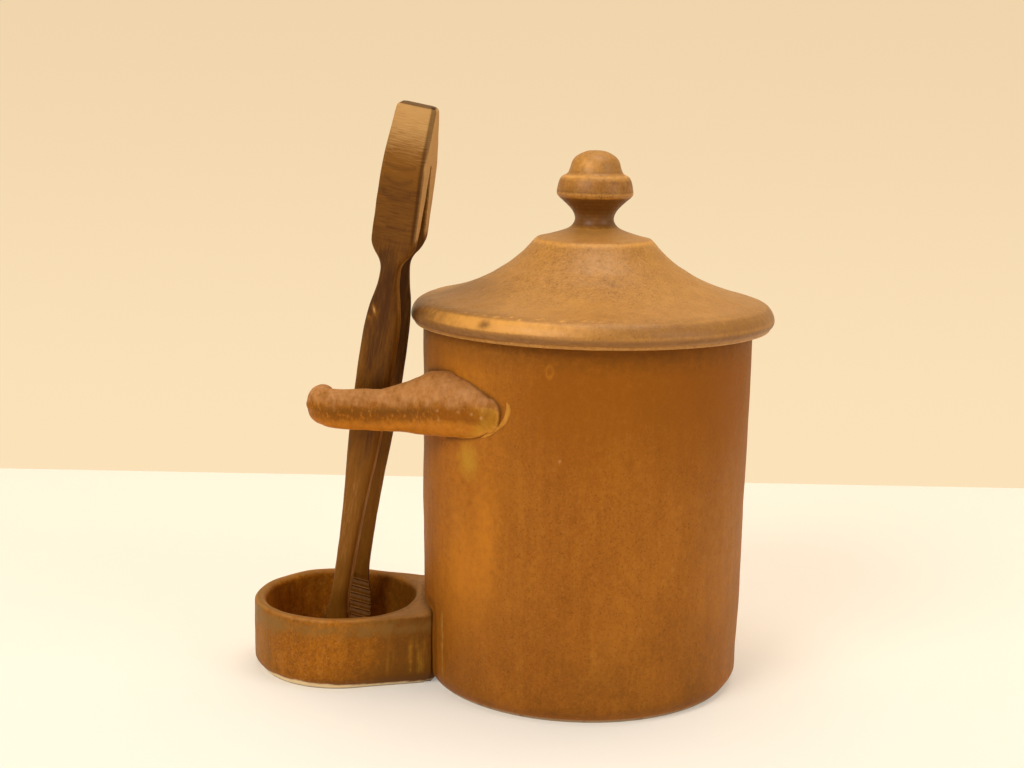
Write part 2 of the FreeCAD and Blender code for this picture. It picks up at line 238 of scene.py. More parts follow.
def makeVessel():
    # one closed profile turned round: base, foot, wall, rim, inside wall and floor
    foot, rim, height = vessel["footRadius"], vessel["rimRadius"], vessel["height"]
    inner, mouth, floor = rim - vessel["wall"], vessel["mouthRound"], vessel["floor"]
    low, high = vessel["straightRun"][0], height - vessel["straightRun"][1]
    ringIn, ringOut, hollow = vessel["footRing"]
    footTop, footIn = 3.4, 0.2

    def straight(level):
        return foot - footIn + (rim - foot + footIn) * (level - footTop) / (height - footTop)
    base = roundedPath([(0, hollow, 0), (foot - ringIn, hollow, 0.5), (foot - ringIn + 0.8, 0, 0.4),
                        (foot - ringOut, 0, 0.5), (foot - footIn, footTop, 2.6), (straight(low), low, 0)],
                       vessel["rows"][0])
    wall = roundedPath([(straight(low), low, 0), (straight(high), high, 0)], vessel["rows"][1])
    inside = roundedPath([(straight(high), high, 0), (rim, height, mouth), (inner, height, mouth),
                          (inner - vessel["taper"], floor, vessel["floorRound"]), (0, floor, 0)],
                         vessel["rows"][2])
    profile = np.vstack([base[:-1], wall, inside[1:]])
    # the straight wall takes the swell of the thrown one
    outside = (profile[:, 0] > foot - 1.5) & (profile[:, 0] > straight(profile[:, 1]) - 0.01)
    profile[outside, 0] += wallRadius(profile[outside, 1]) - straight(profile[outside, 1])
    fine, coarse = vessel["columns"]
    skin = turned(profile, columnAngles([(*vessel["fineWindow"], fine)], coarse))
    radius = np.linalg.norm(skin[..., :2], axis=-1)
    out = skin[..., :2] / np.maximum(radius, 1e-6)[..., None]
    push = vessel["unevenness"] * wave(skin, 55, 3) * smooth(radius, 30, 50) * smooth(skin[..., 2], 0.5, 8)
    push += 0.05 * wave(skin * [1, 1, 0.4], 9, 4) * smooth(radius, 52, 55) * smooth(skin[..., 2], 2, 6)
    push *= 1 - smooth(skin[..., 2], height - 3, height)
    skin[..., :2] += out * push[..., None]
    return gridPiece("jarVessel", skin)


cup = {
    "centre": 86.8,
    "hole": 27.3,
    "wall": 3.9,
    "height": 25.9,
    "floor": 3.6,
    "sideTurn": 17.0,  # the sides close in on the jar by this angle
    "footRound": 4.0,
    "footRing": (7.0, 0.7),  # width of the standing ring, and the hollow inside it
    "land": 1.9,  # the flat of the rim starts this far in from either side
    "rows": 0.7,  # spacing
    "sink": 2.4,  # how deep the web runs into the jar's wall
    "endRound": 1.2,  # round end of each side, at the groove beside the jar
    "webRise": 1.5,  # the web's top climbs this much against the jar
}


def cupReach(heading):
    # from the cup's axis out to its face: the least of round wall, straight side and jar wall
    turn = np.abs(heading)
    outside = cup["hole"] + cup["wall"]
    reach = np.full_like(turn, outside)
    lean = np.radians(90 - cup["sideTurn"])
    straight = turn < lean
    reach[straight] = outside / np.cos(turn[straight] - lean)
    along = cup["centre"] * np.cos(turn)
    deep = wallRadius(8.0) - cup["sink"]
    inside = along**2 - cup["centre"]**2 + deep**2
    toJar = np.where((inside > 0) & (along > 0), along - np.sqrt(np.maximum(inside, 0)), 1e3)
    # the end of each side rounds inward before it reaches the jar
    spot = np.stack([reach * np.cos(turn) - cup["centre"], reach * np.sin(turn)], -1)
    left = (np.linalg.norm(spot, axis=-1) - wallRadius(8.0)).clip(0, cup["endRound"])
    tuck = cup["endRound"] - np.sqrt(cup["endRound"]**2 - (cup["endRound"] - left)**2)
    return np.minimum(reach - np.where(straight, tuck, 0) * 1.25, toJar)


def makeCup():
    # rows run from under the base, up the outside, over the rim, down the hole and over the floor;
    # each row is an inset from the outer face, or a radius from the cup's axis, with a level
    height, floor, foot = cup["height"], cup["floor"], cup["footRound"]
    hole, land, rows = cup["hole"], cup["land"], cup["rows"]
    ring, hollow = cup["footRing"]
    outer = roundedPath([(40, hollow, 0), (ring, hollow, 0.4), (ring - 0.6, 0, 0.4), (foot - 0.6, 0, 0.3),
                         (0, foot, foot * 0.75), (0, height, 1.4), (land, height, 0)], rows)
    inner = roundedPath([(hole + land, height, 0), (hole, height, 1.7), (hole - 0.9, floor, 4),
                         (0, floor, 0)], rows)
    heading = columnAngles([(-40, -22, 0.35), (22, 40, 0.35)], 1.0)
    reach = cupReach(heading)
    outRows = np.maximum(reach[None, :] - outer[:, :1], 0)
    shrink = np.clip((outer[:, :1] - ring) / (40 - ring), 0, 1)
    outRows = np.where(outer[:, :1] > ring, (reach[None, :] - ring) * (1 - shrink), outRows)
    share = np.linspace(0, 1, 14)[1:-1, None]
    landRows = (reach[None, :] - land) * (1 - share) + (hole + land) * share
    inRows = np.repeat(inner[:, :1], len(heading), axis=1)
    radius = np.vstack([outRows, landRows, inRows])
    level = np.concatenate([outer[:, 1], np.full(len(share), height), inner[:, 1]])[:, None]
    x, y = radius * np.cos(heading) - cup["centre"], radius * np.sin(heading)
    skin = np.stack([x, y, level + 0 * radius], -1)
    nearJar = 1 - smooth(np.linalg.norm(skin[..., :2], axis=-1) - wallRadius(20.0), 0.0, 9.0)
    skin[..., 2] += cup["webRise"] * nearJar**1.6 * smooth(skin[..., 2], height * 0.6, height)
    skin[..., 2] += 0.28 * wave(skin, 34, 11, 2) * smooth(skin[..., 2], height * 0.5, height)
    out = np.stack([np.cos(heading), np.sin(heading)], -1)[None]
    push = 0.25 * wave(skin, 28, 12) * smooth(skin[..., 2], 0.5, 6) * smooth(radius, 18, 25)
    skin[..., :2] += out * (push * (1 - nearJar))[..., None]
    return gridPiece("jarCup", skin)


hook = {
    "line": 27.4,  # how far the arm's middle stands in front of the jar's axis
    "level": 99.5,
    "bendRadius": 6.2,
    "bendTurn": 112.0,
    "bendX": -85.1,
    "rootX": -70.0,
    "rootLength": 38.0,
    "rootSweep": 18.2,
    "rootLift": 3.5,
    "rootNose": 4.6,
    "armRise": 7.2,
    "armDepth": 4.7,
    "tipRise": 5.6,
    "tipDepth": 4.5,
    "tipLift": 1.2,
    "tipRound": 5.0,
    "squareness": 2.25,  # of the sections
    "ridge": 0.35,  # along the front
    "unevenness": 0.22,
    "sink": 2.4,  # how deep the root runs into the jar's wall
    # share along the root; how far it swells up and down, swells outward, and is lifted
    "swell": [(0.0, 0.0, 0.0, 0.0), (0.16, 0.9, 0.5, 0.1), (0.32, 2.4, 1.6, 0.5), (0.47, 3.8, 2.8, 1.1),
              (0.60, 4.0, 3.1, 0.9), (0.70, 3.4, 2.6, 0.4), (0.80, 2.9, 1.8, -0.1), (0.90, 1.8, 0.7, -0.5),
              (1.0, -0.8, -0.8, -0.7)],
}


def makeHook():
    # oval sections along a line: root curving round the jar, straight arm, bend and rounded end
    swell = throughPoints(hook["swell"], 120)
    share = swell[::-1, 0]
    root = np.stack([
        hook["rootX"] + hook["rootLength"] * share,
        -hook["line"] - hook["rootSweep"] * share**2,
        hook["level"] + hook["rootLift"] * np.sin(np.pi / 2 * share) + swell[::-1, 3],
        hook["armRise"] + swell[::-1, 1],
        hook["armDepth"] + swell[::-1, 2]], -1)
    start = np.array([hook["bendX"], -hook["line"], hook["level"],
                      hook["armRise"] - 0.3 * (hook["armRise"] - hook["tipRise"]), hook["armDepth"]])
    arm = root[-1] + (start - root[-1]) * np.linspace(0, 1, 30)[1:-1, None]
    turn = np.radians(hook["bendTurn"]) * np.linspace(0, 1, 40)
    part = np.linspace(0, 1, 40)
    bend = np.stack([
        hook["bendX"] - hook["bendRadius"] * np.sin(turn),
        hook["bendRadius"] - hook["line"] - hook["bendRadius"] * np.cos(turn),
        hook["level"] + hook["tipLift"] * part,
        start[3] + (hook["tipRise"] - start[3]) * part,
        hook["armDepth"] + (hook["tipDepth"] - hook["armDepth"]) * part], -1)
    close = np.radians(np.linspace(0, 90, 16))[1:, None]
    onward = np.array([-np.cos(turn[-1]), np.sin(turn[-1])]) * hook["tipRound"]
    end = np.hstack([bend[-1, :2] + np.sin(close) * onward, bend[-1, 2] + 0 * close,
                     bend[-1, 3:] * np.cos(close)])
    line = np.vstack([root, arm, bend, end])
    # the root runs out in a rounded nose against the wall
    close = np.radians(np.linspace(90, 0, 14))[:-1, None]
    into = root[0, :2] - root[2, :2]
    into *= hook["rootNose"] / np.linalg.norm(into)
    nose = np.hstack([root[0, :2] + np.sin(close) * into, root[0, 2] + 0 * close,
                      root[0, 3:] * np.cos(close)])
    line = np.vstack([nose, line])
    ahead = np.gradient(line[:, :2], axis=0)
    ahead[-8:] = onward
    ahead[:13] = -into
    ahead /= np.linalg.norm(ahead, axis=1, keepdims=True)
    across = np.stack([ahead[:, 1], -ahead[:, 0]], -1)
    a = np.linspace(0, 2 * np.pi, 88, endpoint=False)
    power = hook["squareness"]
    bulk = 1 / (np.abs(np.cos(a))**power + np.abs(np.sin(a))**power)**(1 / power)
    # the front carries a soft ridge at mid height, where upper and lower slopes meet
    front = np.cos(a) < -0.2
    ridge = hook["ridge"] * hill(np.sin(a), -0.04, 0.16) * front
    depth = line[:, 4:5] * bulk * np.cos(a) - ridge * smooth(line[:, 4:5], 1.5, 4)
    rise = line[:, 3:4] * bulk * np.sin(a)
    skin = np.dstack([line[:, :1] + across[:, :1] * depth, line[:, 1:2] + across[:, 1:] * depth,
                      line[:, 2:3] + rise])
    grow = hook["unevenness"] * wave(skin, 16, 21) * smooth(line[:, 4:5], 2, 4)
    skin[..., 0] += across[:, :1] * np.cos(a) * grow
    skin[..., 1] += across[:, 1:] * np.cos(a) * grow
    skin[..., 2] += np.sin(a) * grow
    # what would reach through the jar's wall is held inside it
    radius = np.linalg.norm(skin[..., :2], axis=-1)
    keep = wallRadius(skin[..., 2]) - hook["sink"]
    skin[..., :2] *= (np.maximum(radius, keep) / radius)[..., None]
    return gridPiece("jarHook", skin)


ridges = {
    # angle round the jar in degrees, level, half width and rise of the glaze, along the line
    "glazeRing": [(-118.7, 107.5, 0.3, 0.1), (-118.1, 106.3, 0.7, 0.35), (-118.0, 104.6, 0.85, 0.5),
                  (-118.7, 102.1, 0.85, 0.5), (-120.4, 99.7, 0.75, 0.45), (-123.3, 97.4, 0.7, 0.4),
                  (-126.3, 95.4, 0.55, 0.3), (-128.6, 94.4, 0.25, 0.1)],
    "glazeSeam": [(-149.2, 30.0, 0.3, 0.1), (-149.3, 27.0, 0.8, 0.3), (-149.0, 20.0, 0.9, 0.4),
                  (-149.2, 12.0, 0.9, 0.35), (-148.8, 6.5, 0.7, 0.3), (-148.6, 4.5, 0.3, 0.1)],
}


def makeRidge(name):
    # a low half-round bead laid along a line on the jar's wall, its lower half sunk in the wall
    stations = 90
    line = throughPoints(ridges[name], stations)
    turn, level, wide, rise = np.radians(line[:, 0]), line[:, 1], line[:, 2], line[:, 3]
    middle = np.stack([np.cos(turn), np.sin(turn), 0 * turn], -1)
    place = middle * wallRadius(level)[:, None] + np.array([0, 0, 1]) * level[:, None]
    ahead = np.gradient(place, axis=0)
    ahead /= np.linalg.norm(ahead, axis=1, keepdims=True)
    beside = np.cross(ahead, middle)
    a = np.linspace(0, 2 * np.pi, 20, endpoint=False)
    fade = np.sqrt(np.clip(1 - np.linspace(-1, 1, stations)**8, 0, 1))[:, None]
    skin = place[:, None] + (beside[:, None] * (np.cos(a) * wide[:, None] * fade)[..., None]
                             + middle[:, None] * (np.sin(a) * rise[:, None] * fade)[..., None])
    skin += 0.12 * wave(skin, 6, 31)[..., None] * middle[:, None] * fade[..., None]
    return gridPiece(name, skin)


lid = {
    "shift": 1.4,  # the lid stands this far to the right of the jar's axis
    "hollow": [(0, 151.5), (10, 151.0), (17, 148.6), (24, 144.2), (32, 139.4), (40, 135.6), (47.3, 132.8)],
    "ring": [(47.3, 132.8, 0), (47.3, 120.6, 1.0), (51.3, 120.6, 1.0), (51.3, 127.6, 0.6), (59.4, 127.6, 0)],
    "lip": [(59.4, 127.6), (60.2, 126.9), (61.2, 126.6), (62.0, 126.9), (62.3, 127.7)],
    "flank": [(62.3, 127.7), (63.1, 128.3), (63.62, 129.4), (63.5, 130.8), (62.6, 132.9), (60.9, 134.6),
              (58.3, 135.6), (54.0, 136.6), (49.0, 138.0), (44.0, 139.7), (39.4, 141.6), (36.0, 143.2),
              (32.7, 145.2), (29.8, 147.0), (27.0, 149.2), (25.0, 151.0), (23.4, 152.7), (21.8, 154.5),
              (20.6, 155.8), (19.6, 156.5), (16.2, 157.4), (12.0, 158.7)],
    "neck": [(12.0, 158.7), (9.2, 159.8), (7.6, 161.1), (6.8, 162.8), (7.0, 164.4), (7.8, 166.0),
             (9.2, 167.6), (10.9, 169.2), (12.6, 170.7)],
    "band": [(12.6, 170.7), (13.0, 171.2), (13.3, 171.9), (13.3, 172.7), (13.1, 174.0), (12.75, 175.6),
             (12.3, 176.8), (11.8, 177.6), (11.0, 178.1)],
    "dome": [(11.0, 178.1), (10.2, 178.5), (9.5, 179.1), (9.1, 180.0), (8.7, 181.2), (8.4, 182.3),
             (7.9, 183.4), (6.7, 184.7), (5.0, 185.7), (2.8, 186.5), (0, 186.7)],
    "rows": {"hollow": 2.2, "lip": 0.5, "flank": 0.62, "neck": 0.5, "band": 0.45, "dome": 0.5},
    "ringRows": 1.3,
    "unevenness": 0.25,
    "columns": 320,
}


def smoothRun(points, step):
    # a smooth line through the points, cut into pieces of about one step
    length = np.linalg.norm(np.diff(points, axis=0), axis=1).sum()
    return throughPoints(points, max(4, int(length / step) + 1))


def makeLid():
    # one closed profile turned round its own axis: hollow, seating ring, lip, flank, neck and knob
    runs = [smoothRun(lid[name], step) for name, step in lid["rows"].items()]
    runs.insert(1, roundedPath(lid["ring"], lid["ringRows"]))
    profile = np.vstack([runs[0]] + [run[1:] for run in runs[1:]])
    skin = turned(profile, lid["columns"])
    radius = np.linalg.norm(skin[..., :2], axis=-1)
    seen = smooth(skin[..., 2], 127.0, 129.0) * smooth(radius, 3, 12)
    push = lid["unevenness"] * wave(skin, 48, 41) + 0.07 * wave(skin, 9, 42, 2)
    skin[..., 2] += push * seen * smooth(radius, 3, 20)
    skin[..., :2] *= (1 - 0.004 * seen * (1 + wave(skin, 60, 43, 2)))[..., None]
    skin[..., 0] += lid["shift"]
    return gridPiece("lidBody", skin)


tongs = {
    "length": 200.0,
    "foot": (-87.2, 7.5, 7.02),  # where the middle of the tips stands
    "turn": -6.9,
    "leanIn": 9.8,
    "leanOut": 9.7,
    "twist": -4.2,  # about their own length, after the lean
    # level, half width of the face; then level, outer and inner distance from the middle plane
    "face": [(0, 3.5), (5, 6.3), (26, 3.3), (113.5, 6.35), (144.4, 3.4), (154.8, 7.45), (198.4, 6.7)],
    "outer": [(0, 15.2), (154.8, 8.4), (181.4, 8.4), (200.0, 2.2)],
    "inner": [(0, 11.2), (154.8, 4.2), (179.7, 0.8)],
    "holeLevel": 180.0,  # small round hole that ends the kerf
    "holeRadius": 1.1,
    "topRound": 1.6,
    "bendRound": 4.5,  # softens the bend where the block starts to thin
    "tooth": {"first": 2.2, "pitch": 3.1, "count": 6, "depth": 0.9, "width": 1.8},
    "keepWide": 1.7,  # above 1, the arms stay wide for longer before their upper neck
    "squareness": 2.8,  # of the arms' sections
    "sharpAngle": 24,  # edges that bend more stay sharp
    "bevel": (1.5, 1.2),  # of the front corner on the jar's side, across and in depth
    "softEdge": (0.7, 0.5),  # of the block's other corners
}


def tongsFrame():
    # how the tongs stand: leaning outward at the foot, leaning in to the rim, and turned
    angles = [math.radians(tongs[key]) for key in ("turn", "leanIn", "leanOut", "twist")]
    turn, leanIn, leanOut, twist = (Matrix.Rotation(a, 3, axis) for a, axis in zip(angles, "ZYXZ"))
    return np.array(turn @ leanIn @ leanOut @ twist)


def faceHalf(level):
    # half width of the face: S-shaped swings from station to station, the tips and the top rounded
    stations = np.array(tongs["face"])
    i = np.clip(np.searchsorted(stations[:, 0], level, side="right") - 1, 0, len(stations) - 2)
    low, high = stations[i], stations[i + 1]
    share = np.clip((level - low[:, 0]) / (high[:, 0] - low[:, 0]), 0, 1)
    share = np.where(i == 3, share ** tongs["keepWide"], share)
    swing = np.where(share < 0.5, 2 * share**2, 1 - 2 * (1 - share)**2)
    swing = np.where(i == 0, np.sqrt(1 - (1 - share)**2), swing)
    swing = np.where(i == len(stations) - 2, share**2, swing)
    half = low[:, 1] + (high[:, 1] - low[:, 1]) * swing
    top = tongs["topRound"]
    over = np.clip(level - (tongs["length"] - top), 0, top)
    return half - (top - np.sqrt(np.maximum(top**2 - over**2, 0)))


def makeTongs():
    # each half is a tube of D-shaped sections, flat inside and rounded outside; the halves share the block
    tooth, length = tongs["tooth"], tongs["length"]
    kerfEnd = tongs["holeLevel"] + tongs["holeRadius"]
    crown = 1.7  # the rows crowd together in the top's rounding
    levels = np.concatenate([np.arange(0, 24, 0.25), np.arange(24, kerfEnd - 3, 0.8),
                             np.linspace(kerfEnd - 3, kerfEnd, 16)[:-1],
                             np.linspace(kerfEnd, length - crown, 26)[:-1],
                             length - crown + crown * np.sin(np.linspace(0, np.pi / 2, 9))])
    outer = np.interp(levels, *np.array(tongs["outer"]).T)
    bendLevel, bendDepth = tongs["outer"][-2]
    slope = (bendDepth - tongs["outer"][-1][1]) / (length - bendLevel)
    past = levels - bendLevel
    rounding = 0.5 * (past + np.hypot(past, tongs["bendRound"])) - np.maximum(past, 0)
    outer -= slope * rounding * smooth(levels, 155, 165)
    inner = np.interp(levels, *np.array(tongs["inner"]).T)
    toHole = tongs["holeRadius"]**2 - (levels - tongs["holeLevel"])**2
    inner = np.where(levels > tongs["holeLevel"], np.sqrt(np.maximum(toHole, 0)),
                     np.maximum(inner, np.sqrt(np.maximum(toHole, 0))))
    for number in range(tooth["count"]):
        away = np.abs(levels - tooth["first"] - tooth["pitch"] * number) / (tooth["width"] / 2)
        inner += tooth["depth"] * np.clip(1 - away, 0, 1) ** 0.8
    closed = levels < kerfEnd - 1e-6
    half = faceHalf(levels)
    blocky = smooth(levels, 146, 156)[:, None]
    a = np.linspace(-np.pi / 2, np.pi / 2, 73)
    side, front = np.abs(np.sin(a)), np.maximum(np.abs(np.cos(a)), 1e-9)
    power = tongs["squareness"]
    oval = 1 / (side**power + front**power)**(1 / power)
    thick = np.maximum(outer - inner, 1)[:, None]
    across = np.linspace(1, -1, 15)[1:-1]

    def section(rightEdge):
        # outer face by direction from the section's middle, then back along the flat inner face
        edge = np.where(np.sin(a)[:, None] > 0, rightEdge, tongs["softEdge"]).T
        bevelX, bevelY = edge[0] / half[:, None], np.minimum(edge[1] / thick, 0.45)
        bevelled = (1 / bevelX + 1 / bevelY - 1) / (side / bevelX + front / bevelY)
        boxy = np.minimum(np.minimum(1 / np.maximum(side, 1e-9), 1 / front), bevelled)
        reach = oval + (boxy - oval) * blocky
        x = np.hstack([half[:, None] * np.sin(a) * reach, half[:, None] * across])
        depth = inner[:, None] + (outer - inner)[:, None] * np.cos(a).clip(0) * reach
        return x, np.hstack([depth, inner[:, None] + 0 * x[:, len(a):]])
    # the tips and the top are closed by rows that shrink to the section's middle
    middle = (outer[0] + inner[0]) / 2
    grow, fade = np.linspace(0, 1, 5)[:-1, None], np.linspace(1, 0, 5)[1:, None]

    def skin(rightEdge, sideways):
        x, y = section(rightEdge)
        z = levels[:, None] + 0 * x
        x = np.vstack([x[0] * grow, x, x[-1] * fade])
        y = np.vstack([middle + (y[0] - middle) * grow, y, y[-1] * fade])
        z = np.vstack([z[:4] * 0, z, z[-4:] * 0 + z[-1]])
        return np.stack([x, y * sideways, z], -1)

    near, far = skin(tongs["bevel"], -1), skin(tongs["softEdge"], 1)
    closed = np.r_[np.ones(4, bool), closed, np.zeros(4, bool)]
    rows, columns = near.shape[:2]
    # above the kerf only the outer face is there
    innerFace = np.arange(columns) >= len(a) - 1
    faces = gridFaces(rows, columns)[closed[:-1, None] | ~innerFace[None, :]]
    local = np.vstack([far.reshape(-1, 3), near.reshape(-1, 3)])
    faces = np.vstack([faces, (faces + rows * columns)[:, ::-1]])
    warped = local + 0.12 * wave(local * [1, 1, 0.5], 14, 51)[:, None] * [1, 0, 0]
    warped[:, 1] += 0.1 * wave(local, 22, 52, 2) * smooth(np.abs(local[:, 1]), 0.5, 3)
    spots = warped @ tongsFrame().T + np.array(tongs["foot"])
    return meshPiece("tongsBody", spots, faces, tongs["sharpAngle"])


def tongsPlaces(piece):
    # the vertices in the tongs' own frame: across the face, out from the middle plane, up from the tips
    return (places(piece) - np.array(tongs["foot"])) @ tongsFrame()


def tint(red, green, blue):
    # a screen colour, 0 to 255, as the linear value that the shaders take
    c = np.array([red, green, blue]) / 255
    return (*np.where(c < 0.04045, c / 12.92, ((c + 0.055) / 1.055)**2.4), 1.0)


def startTree(owner):
    # the material or world whose nodes the next calls add
    global tree
    owner.use_nodes = True
    tree = owner.node_tree
    tree.nodes.clear()


def add(kind, inputs=None, **settings):
    # one node with its settings; inputs are values or other nodes' sockets
    node = tree.nodes.new("ShaderNode" + kind)
    for key, value in settings.items():
        setattr(node, key, value)
    for key, value in (inputs or {}).items():
        if isinstance(value, bpy.types.NodeSocket):
            tree.links.new(value, node.inputs[key])
        else:
            node.inputs[key].default_value = value
    return node


def calc(operation, first, second):
    return add("Math", {0: first, 1: second}, operation=operation).outputs[0]


def times(first, second):
    return calc("MULTIPLY", first, second)


def plus(first, second):
    return calc("ADD", first, second)


def centred(cloud, amount):
    # a cloudy value moved to lie about 0, times an amount
    return times(calc("SUBTRACT", cloud, 0.5), amount)


def blend(share, first, second):
    return add("Mix", {0: share, 6: first, 7: second}, data_type="RGBA").outputs[2]


def noise(where, scale, detail=3.0, stretch=(1, 1, 1), rough=0.55, warp=0.0):
    # cloudy values about 0.5, drawn out along an axis where its stretch is below 1
    moved = add("VectorMath", {0: where, 1: stretch}, operation="MULTIPLY").outputs[0]
    return add("TexNoise", {"Vector": moved, "Scale": scale, "Detail": detail, "Roughness": rough,
                            "Distortion": warp}).outputs["Fac"]


def between(value, low, high, bottom=0.0, top=1.0):
    # the value's place between low and high, eased at both ends
    return add("MapRange", {"Value": value, "From Min": low, "From Max": high, "To Min": bottom,
                            "To Max": top}, interpolation_type="SMOOTHSTEP").outputs["Result"]


def attribute(name, output="Fac"):
    return add("Attribute", attribute_name=name, attribute_type="GEOMETRY").outputs[output]


def newMaterial(name):
    # a material with an empty tree, which the functions above then fill
    material = bpy.data.materials.new(name)
    startTree(material)
    return material


glaze = {
    "deep": (143, 83, 16),
    "body": (153, 91, 21),
    "warm": (166, 102, 27),
    "speckle": (108, 60, 4),
    "orange": (196, 122, 30),
    "rich": (141, 79, 0),
    "umber": (108, 66, 12),
    "rose": (170, 118, 60),
    "gold": (206, 144, 56),
    "olive": (182, 130, 36),
    "pale": (196, 144, 84),
    "dust": (134, 96, 42),
    "clay": (250, 228, 186),
    # colour of the painted shade in creases, joints and contact lines
    "creaseShade": (60, 33, 4),
    "mottle": 0.2,
    "grainShare": 0.34,
    "dots": 0.1,
    "roughness": 0.52,
    "specular": 0.12,
}
castGlaze = dict(glaze, deep=(120, 69, 5), body=(147, 86, 9), warm=(174, 107, 18), rose=(190, 134, 80),
                 mottle=0.38, dots=0.2)
lidGlaze = dict(glaze, deep=(154, 103, 37), body=(173, 119, 47), warm=(188, 133, 58), umber=(112, 68, 10),
                gold=(222, 158, 72), mottle=0.25, roughness=0.45, specular=0.4, dots=0.45)


def glazeMaterial(name, look):
    # satin-glazed stoneware: clouded brown, fine upright streaks and speckle, with the painted marks over it,
    # painted shade, highlights and reflections among them
    material = newMaterial(name)
    where = add("TexCoord").outputs["Object"]
    cloud = noise(where, 26, 4, (1, 1, 0.6))
    streak = noise(where, 330, 3, (1, 1, 0.12), 0.6)
    grain = noise(where, 900, 2, (1, 1, 0.7), 0.6)
    speck = noise(where, 1500, 1)
    patch = noise(where, 170, 5, (1, 1, 0.8), 0.7)
    tone = plus(times(cloud, 0.45), times(streak, 0.26))
    tone = plus(tone, times(grain, look["grainShare"]))
    colour = blend(between(tone, 0.40, 0.52), tint(*look["deep"]), tint(*look["body"]))
    colour = blend(between(tone, 0.50, 0.66), colour, tint(*look["warm"]))
    dots, clouds = look["dots"], look["mottle"]
    for value, low, high, most, key in (
            (speck, 0.60, 0.72, 0.5, "speckle"), (speck, 0.42, 0.32, dots, "pale"),
            (patch, 0.50, 0.36, 0.6 * clouds, "umber"), (patch, 0.53, 0.66, 0.4 * clouds, "gold")):
        colour = blend(between(value, low, high, 0, most), colour, tint(*look[key]))
    layers = ("rich", "orange", "umber", "olive", "rose", "gold", "pale", "dust")
    marks = {key: attribute(key) for key in layers + ("clay", "creaseShade", "seam")}
    mottle = centred(noise(where, 420, 3, rough=0.65), 0.5 + 0.9 * clouds)
    for key in layers:
        share = between(plus(marks[key], mottle), 0.0, 1.0)
        share = times(share, calc("MINIMUM", times(marks[key], 4.0), 1.0))
        colour = blend(share, colour, tint(*look[key]))
    ticks = noise(where, 1100, 2, (1, 1, 0.45), 0.6)
    for low, high, most, key in ((0.58, 0.42, 0.7, "umber"), (0.56, 0.68, 0.5, "gold")):
        colour = blend(times(marks["seam"], between(ticks, low, high, 0, most)), colour, tint(*look[key]))
    for key in ("clay", "creaseShade"):
        colour = blend(marks[key], colour, tint(*look[key]))
    rough = between(grain, 0.3, 0.7, look["roughness"] - 0.05, look["roughness"] + 0.08)
    rough = plus(rough, times(marks["clay"], 0.4))
    peel = noise(where, 260, 3, rough=0.6)
    bump = add("Bump", {"Strength": 0.4, "Distance": 0.0004, "Height": peel})
    fine = add("Bump", {"Strength": 0.45, "Distance": 0.0002, "Height": grain,
                        "Normal": bump.outputs["Normal"]})
    shader = add("BsdfPrincipled", {
        "Base Color": colour, "Roughness": rough, "IOR": 1.5, "Specular IOR Level": look["specular"],
        "Normal": fine.outputs["Normal"]})
    add("OutputMaterial", {"Surface": shader.outputs["BSDF"]})
    return material


wood = {
    "light": (192, 146, 86),
    "middle": (124, 77, 13),
    "dark": (72, 38, 2),
    "darkMark": (58, 31, 4),
    "roughness": 0.6,
    "specular": 0.2,
    # level above the tips, how pale the wood is there
    "paleness": [(0, 0.36), (20, 0.40), (60, 0.47), (100, 0.28), (135, 0.12), (150, 0.20), (160, 0.28),
                 (170, 0.30), (173, 0.27), (176, 0.39), (180, 0.46), (183, 0.52), (187, 0.64), (190, 0.76),
                 (195, 0.9), (200, 1.0)],
}


def woodMaterial(name):
    # oiled hardwood: pale towards the top and where it is worn, dark in the arms, with painted highlights on
    # edges, painted shade on the top, and lines along the grain
    material = newMaterial(name)
    where = attribute("woodPlace", "Vector")
    lines = noise(where, 1.1, 4, (1.2, 1.2, 0.09), 0.6, 0.4)
    pores = noise(where, 5.0, 2, (1.2, 1.2, 0.08), 0.6)
    rings = noise(where, 0.9, 4, (0.22, 0.22, 2.9), 0.6, 0.8)
    light, ring, darkMark = attribute("woodLight"), attribute("woodRings"), attribute("woodMarksAndShade")
    vary = plus(centred(lines, 0.55), centred(pores, 0.35))
    vary = plus(times(vary, calc("SUBTRACT", 1.0, ring)), times(centred(rings, 0.62), ring))
    tone = plus(light, vary)
    colour = blend(between(tone, 0.0, 0.5), tint(*wood["dark"]), tint(*wood["middle"]))
    colour = blend(between(tone, 0.45, 1.0), colour, tint(*wood["light"]))
    colour = blend(darkMark, colour, tint(*wood["darkMark"]))
    height = plus(times(lines, 0.6), times(pores, 0.4))
    bump = add("Bump", {"Strength": 0.3, "Distance": 0.0003, "Height": height})
    shader = add("BsdfPrincipled", {
        "Base Color": colour, "Roughness": wood["roughness"], "IOR": 1.45,
        "Specular IOR Level": wood["specular"], "Normal": bump.outputs["Normal"]})
    add("OutputMaterial", {"Surface": shader.outputs["BSDF"]})
    return material


print("jar: vessel")
vesselPiece = makeVessel()
print("jar: cup and hook")
cupPiece = makeCup()
hookPiece = makeHook()
ridgePieces = [makeRidge(name) for name in ridges]
print("lid")
lidPiece = makeLid()
print("tongs")
tongsPiece = makeTongs()


def wallLine(points, count=160):
    # a line on the jar's wall through (angle, level) points
    turn, level = throughPoints(points, count).T
    turn = np.radians(turn)
    return np.stack([wallRadius(level) * np.cos(turn), wallRadius(level) * np.sin(turn), level], -1)


